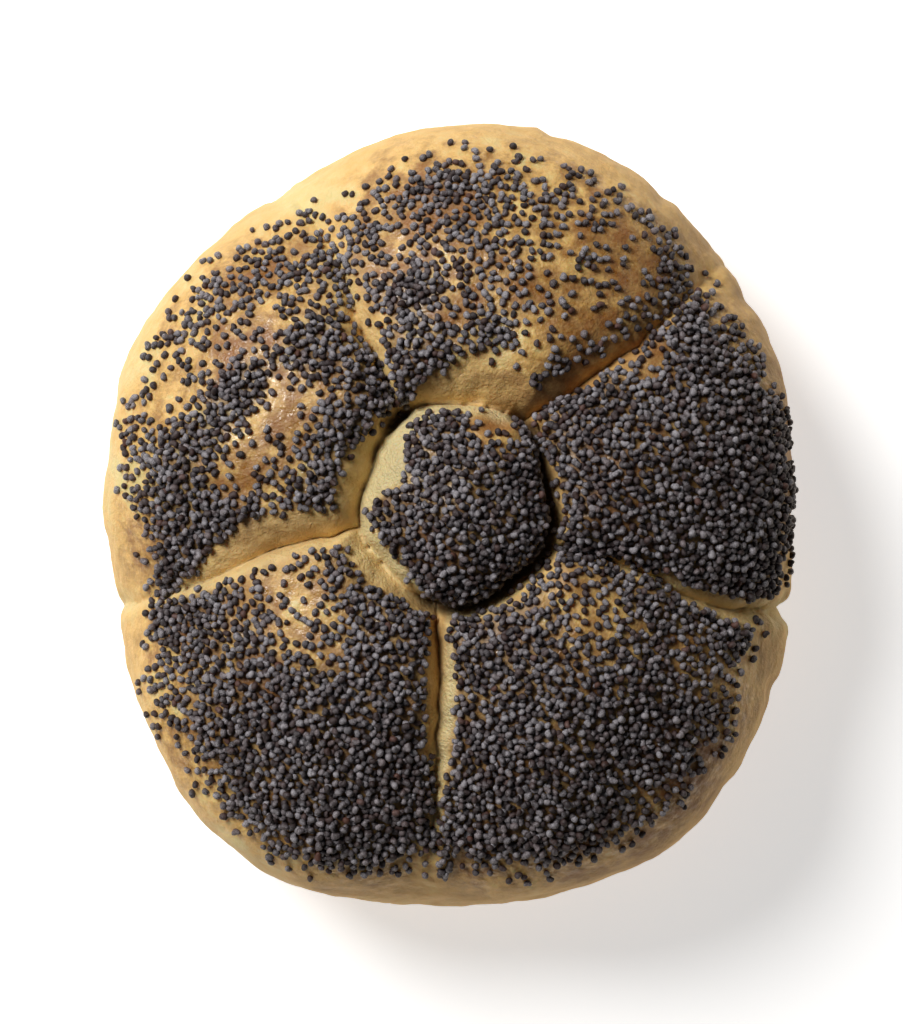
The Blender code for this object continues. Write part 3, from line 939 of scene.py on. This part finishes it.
def strewn_field(grid):
    """How thickly each place is strewn with seed, from 0 to 1."""
    lobe = np.arange(grid["share"].shape[1]) // LOBE_COLUMNS
    strewn = np.array(list(LOBES.values()))[lobe] + 0 * grid["share"]
    strewn[:KNOB_RINGS] = KNOB_STREWN
    strewn += spots(grid, PATCHES)
    strewn += soft_noise(grid["points"], CLOUD_LAYERS) * (STREWN_CLOUDED - strewn)
    share = grid["share"] + soft_noise(grid["points"], REACH_LAYERS)
    reach = by_direction(STREWN_REACH, grid["angle"])
    strewn *= 1 - smooth_step(share, reach - REACH_BLUR, reach + REACH_BLUR)
    strewn *= (1 - grid["bare"]) * (grid["under"] <= 0)
    return np.clip(strewn, 0, STREWN_MOST)


def bake_disc(angle, distance, disc):
    """Places on the bake map of rings of the skin, laid in a disc by direction and share of its radius.

    The two poles follow the rings, both in the disc's middle.
    """
    middle, radius = disc
    places = middle + radius * distance[:, None, None] * np.stack([np.cos(angle), np.sin(angle)], -1)
    return np.concatenate([places.reshape(-1, 2), [middle, middle]])


def make_crust(shape, look):
    """The crust as one closed piece: the grid's rings from the knob's middle to the underside's middle."""
    grid = crust_grid(shape)
    inner = grid["points"][1:-1]
    rings, columns = inner.shape[:2]
    count = rings * columns
    poles = [grid["points"][ring].mean(0) for ring in (0, -1)]
    quads, caps = grid_faces(rings, columns, count, count + 1)
    points = np.concatenate([inner.reshape(-1, 3), poles])
    piece = make_piece("roll_crust", points, quads, caps, crust_material(look))
    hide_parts("roll")

    gloss = smooth_step(grid["nearest"], 1 * MM, 5 * MM) * (1 - smooth_step(grid["share"], 0.85, 0.97))
    # Partly painted light and shade: walls in shade are less floury and lit walls more.
    rawness_and_painted_light = by_direction(RAW_AND_PAINTED_LIGHT_WALLS, grid["angle"])
    rawness_and_painted_light[:KNOB_RINGS] = KNOB_RAW
    # Painted shade, where the seeds lie thick and in the slits beside the knob.
    shade_under_seeds = UNDER_SEEDS_PAINTED_SHADE * smooth_step(strewn_field(grid), 0.6, 0.97)
    fields = {
        "toast": toast_field(grid),
        "raw": grid["bare"] * rawness_and_painted_light,
        "gloss": gloss * (grid["under"] <= 0),
        "stain_and_painted_shade": np.maximum(shade_under_seeds, SLIT_PAINTED_SHADE * grid["slit"]),
    }
    for name, values in fields.items():
        at_poles = [values[0].mean(), values[-1].mean()]
        add_field(piece.data, name, np.concatenate([values[1:-1].ravel(), at_poles]))

    ring = np.arange(1, RINGS - 1)
    angle = grid["angle"][1:-1]
    top = bake_disc(angle, np.minimum(ring / RIM_RINGS, 1), TOP_DISC)
    under = bake_disc(-angle, np.clip((RINGS - ring) / (RINGS - RIM_RINGS), 0, 1), UNDER_DISC)
    vertex, first, total = face_corners(piece.data)
    ring = np.where(vertex < count, vertex // columns, RINGS * (vertex - count))
    lowest = np.repeat(np.maximum.reduceat(ring, first), total)
    add_bake_map(piece.data, np.where((lowest >= RIM_RINGS)[:, None], under[vertex], top[vertex]))


def strew(grid, seed_look):
    """Seeds on the crust: random grid cells, more where it is thickly strewn, thinned to the spacing.

    Returns each seed's ring, column and place, and its layer, which is 0 on the crust and 1 on other seeds.
    """
    rng = np.random.default_rng(STREWING)
    points = grid["points"]
    right = np.roll(points, -1, 1)
    area = np.linalg.norm(np.cross(right[:-1] - points[:-1], points[1:] - points[:-1]), axis=-1)
    strewn = strewn_field(grid)[:-1]
    tries = seed_look.amount * strewn / (STREWN_FULL - strewn) / MM**2
    tries[strewn < STREWN_LEAST] = 0.0
    expected = (tries * area).ravel()
    cells = np.repeat(np.arange(len(expected)), rng.poisson(expected))
    rng.shuffle(cells)
    ring, column = np.divmod(cells, points.shape[1])
    within = rng.random((len(cells), 2))
    after = (column + 1) % points.shape[1]
    across = points[ring, column] * (1 - within[:, :1]) + points[ring, after] * within[:, :1]
    lower = points[ring + 1, column] * (1 - within[:, :1]) + points[ring + 1, after] * within[:, :1]
    places = across * (1 - within[:, 1:]) + lower * within[:, 1:]
    ground = keep_apart(places, seed_look.spacing)
    left = np.setdiff1d(np.arange(len(cells)), ground)
    thick = strewn[ring[left], column[left]] > HEAPED_ABOVE
    heaped = left[thick & (rng.random(len(left)) < HEAPED_SHARE)]
    heaped = heaped[keep_apart(places[heaped], seed_look.spacing * HEAPED_SPACING)]
    chosen = np.concatenate([ground, heaped])
    layer = np.concatenate([np.zeros(len(ground)), np.ones(len(heaped))])
    return ring[chosen], column[chosen], places[chosen], layer


def keep_apart(places, spacing):
    """Numbers of the places kept, when each is dropped if one kept before it lies nearer than the spacing."""
    cells = {}
    kept = []
    keys = np.floor(places / spacing).astype(int)
    for number, (place, (i, j, k)) in enumerate(zip(places.tolist(), keys.tolist())):
        near = (cells.get((i + a, j + b, k + c), ()) for a, b, c in itertools.product((-1, 0, 1), repeat=3))
        if all(math.dist(place, other) >= spacing for group in near for other in group):
            cells.setdefault((i, j, k), []).append(place)
            kept.append(number)
    return np.array(kept, int)


def lie_on(normals, rng, layer):
    """Each seed's long, wide and deep directions: long along the skin, a little tipped, and any way round."""
    count = len(normals)
    tip = rng.normal(0, TIP, (count, 3)) * (1 + HEAPED_TIP * layer[:, None])
    up = normals + tip
    up /= np.linalg.norm(up, axis=1)[:, None]
    long_way = np.cross(up, rng.normal(0, 1, (count, 3)))
    long_way /= np.linalg.norm(long_way, axis=1)[:, None]
    side = np.cross(up, long_way)
    roll = rng.uniform(0, 2 * math.pi, count)[:, None]
    wide_way = np.cos(roll) * side + np.sin(roll) * up
    return np.stack([long_way, wide_way, np.cross(long_way, wide_way)], 1)


def make_seeds(name, normals, places, layer, look, material, seed):
    """A group of seeds as one piece: each a kind of seed, scaled, turned and sunk a little in the crust."""
    rng = np.random.default_rng(seed)
    count = len(places)
    length = look.length
    kinds = np.stack([
        seed_shape(length * long, length * wide, length * deep, SEED_BEND * bend, dent)
        for long, wide, deep, bend, dent in SEED_KINDS
    ])
    kind = rng.integers(0, len(kinds), count)
    scale = rng.normal(1, SIZE_SPREAD, count).clip(0.8, 1.2)
    shapes = kinds[kind] * scale[:, None, None]
    turned = shapes @ lie_on(normals, rng, layer)
    lift = length * (rng.uniform(*SEED_STANDS, count) + HEAPED_STANDS * layer)
    points = turned + (places + normals * lift[:, None])[:, None]
    each = points.shape[1]
    start = (np.arange(count) * each)[:, None, None]
    quads, caps = (start + faces for faces in grid_faces(SEED_RINGS - 1, SEED_AROUND, each - 2, each - 1))
    piece = make_piece(
        name, points.reshape(-1, 3), quads.reshape(-1, 4), caps.reshape(-1, 3), material
    )
    above = (turned * normals[:, None]).sum(-1) / (0.4 * length)
    # Painted light and shade: each seed's top is paler and its sides darker, by how far a point stands above
    # its middle.
    tone_and_painted_top_light = rng.beta(*TONE_CURVE, count)[:, None] * TONE_SPREAD + PAINTED_TOP_LIGHT * np.clip(above, -1, 1)
    add_field(piece.data, "tone_and_painted_top_light", tone_and_painted_top_light.ravel())
    rust = np.where(rng.random(count) < RED_SHARE, RED_MOST, RED_USUAL * rng.beta(*RED_CURVE, count))
    add_field(piece.data, "rust", np.repeat(rust, each))
    add_bake_map(piece.data, seed_bake_places(piece.data, each, count))


def seed_bake_places(mesh, each, count):
    """Each seed has its own square on the bake map, on which its rings run across and its way round runs up.

    A face that closes the way round ends at the square's far edge, and a pole lies level with its own face.
    """
    vertex, first, total = face_corners(mesh)
    seed, part = np.divmod(vertex, each)
    ring, around = np.divmod(part, SEED_AROUND)
    first_pole, last_pole = part == each - 2, part == each - 1
    pole = first_pole | last_pole
    across = np.where(first_pole, 0, np.where(last_pole, SEED_RINGS, ring + 1)) / SEED_RINGS
    last = np.repeat(first + total - 1, total)
    corners = [np.minimum(np.repeat(first, total) + k, last) for k in range(4)]
    lowest = np.stack([np.where(pole[at], SEED_AROUND, around[at]) for at in corners]).min(0)
    highest = np.stack([np.where(pole[at], 0, around[at]) for at in corners]).max(0)
    wraps = (highest == SEED_AROUND - 1) & (lowest == 0)
    around = np.where(wraps & (around == 0), SEED_AROUND, around)
    around = np.where(pole, np.where(wraps, highest, lowest) + 0.5, around)
    across, upward = (SEED_MARGIN + (1 - 2 * SEED_MARGIN) * at for at in (across, around / SEED_AROUND))
    side = math.ceil(math.sqrt(count))
    return np.stack([(seed % side + across) / side, (seed // side + upward) / side], 1)


# ---- operators


class KAISER_OT_crust(bpy.types.Operator):
    """Make the baked crust of the roll"""

    bl_idname = "kaiser.crust"
    bl_label = "Crust"

    def execute(self, context):
        make_crust(context.scene.roll_shape, context.scene.crust_look)
        return {"FINISHED"}


class KAISER_OT_seeds(bpy.types.Operator):
    """Strew poppy seeds on the knob and on each lobe, one piece for each"""

    bl_idname = "kaiser.seeds"
    bl_label = "Poppy seeds"

    def execute(self, context):
        look = context.scene.seed_look
        grid = crust_grid(context.scene.roll_shape)
        ring, column, places, layer = strew(grid, look)
        normals = grid["normals"][ring, column]
        lobe = np.where(ring < KNOB_RINGS, len(LOBES), column // LOBE_COLUMNS)
        material = seed_material(look)
        for number, name in enumerate([*LOBES, "knob"]):
            mine = lobe == number
            group = normals[mine], places[mine], layer[mine]
            make_seeds(f"seeds_{name}", *group, look, material, STREWING_GROUP + number)
        return {"FINISHED"}


class KAISER_OT_stage(bpy.types.Operator):
    """Make the floor, the lights and the camera"""

    bl_idname = "kaiser.stage"
    bl_label = "Stage"

    def execute(self, context):
        look = context.scene.stage_look
        make_floor(look)
        make_lights(context.scene, look)
        make_camera(context.scene, look, context.scene.roll_shape.rim_height)
        return {"FINISHED"}


def make_floor(look):
    """One square at the height of the roll's underside."""
    side = FLOOR_SIDE / 2
    mesh = bpy.data.meshes.new("floor")
    corners = [(-side, -side, 0), (side, -side, 0), (side, side, 0), (-side, side, 0)]
    mesh.from_pydata(corners, [], [(0, 1, 2, 3)])
    mesh.materials.append(floor_material(look))
    floor = bpy.data.objects.new("floor", mesh)
    bpy.context.scene.collection.objects.link(floor)


def make_lights(scene, look):
    """A soft key light from the upper left, and an even white light from all round."""
    rise, turn = look.key_rise, look.key_turn
    towards = Vector((math.cos(rise) * math.cos(turn), math.cos(rise) * math.sin(turn), math.sin(rise)))
    data = bpy.data.lights.new("key", "AREA")
    data.energy = look.key_power
    data.shape = "DISK"
    data.size = KEY_SIZE
    data.color = KEY_COLOUR
    key = bpy.data.objects.new("key", data)
    key.location = towards * KEY_DISTANCE
    key.rotation_euler = towards.to_track_quat("Z", "Y").to_euler()
    key.visible_camera = False
    scene.collection.objects.link(key)
    world = bpy.data.worlds.new("studio")
    world.use_nodes = True
    tree = world.node_tree
    background = tree.nodes["Background"]
    background.inputs["Color"].default_value = WHITE
    seen = add(tree, "LightPath").outputs["Is Camera Ray"]
    tree.links.new(mix_numbers(tree, seen, look.fill, BACKDROP), background.inputs["Strength"])
    scene.world = world
    scene.view_settings.view_transform = "Standard"


def make_camera(scene, look, rim_height):
    """A camera straight above, so far up that its lens takes in the view's height at the rim."""
    data = bpy.data.cameras.new("camera")
    data.lens = look.lens
    data.sensor_width = SENSOR
    camera = bpy.data.objects.new("camera", data)
    camera.location = (*VIEW_MIDDLE, rim_height + VIEW_HEIGHT * look.lens / SENSOR)
    scene.collection.objects.link(camera)
    scene.camera = camera


class KAISER_PT_panel(bpy.types.Panel):
    """Lists what the roll is made of"""

    bl_idname = "KAISER_PT_panel"
    bl_label = "Kaiser Roll"
    bl_space_type = "VIEW_3D"
    bl_region_type = "UI"
    bl_category = "Kaiser Roll"

    def draw(self, context):
        for operator, groups in PARTS:
            box = self.layout.box()
            box.operator(operator.bl_idname)
            for group in groups:
                for name in GROUPS[group].__annotations__:
                    box.prop(getattr(context.scene, group), name)


PARTS = (
    (KAISER_OT_crust, ("roll_shape", "crust_look")),
    (KAISER_OT_seeds, ("seed_look",)),
    (KAISER_OT_stage, ("stage_look",)),
)
GROUPS = {"roll_shape": RollShape, "crust_look": CrustLook, "seed_look": SeedLook, "stage_look": StageLook}
CLASSES = (*GROUPS.values(), KAISER_OT_crust, KAISER_OT_seeds, KAISER_OT_stage, KAISER_PT_panel)


def register():
    for item in CLASSES:
        bpy.utils.register_class(item)
    for name, group in GROUPS.items():
        setattr(bpy.types.Scene, name, bpy.props.PointerProperty(type=group))


def unregister():
    for name in GROUPS:
        delattr(bpy.types.Scene, name)
    for item in reversed(CLASSES):
        bpy.utils.unregister_class(item)


def main():
    register()
    bpy.ops.kaiser.crust()
    bpy.ops.kaiser.seeds()
    bpy.ops.kaiser.stage()


if __name__ == "__main__":
    main()
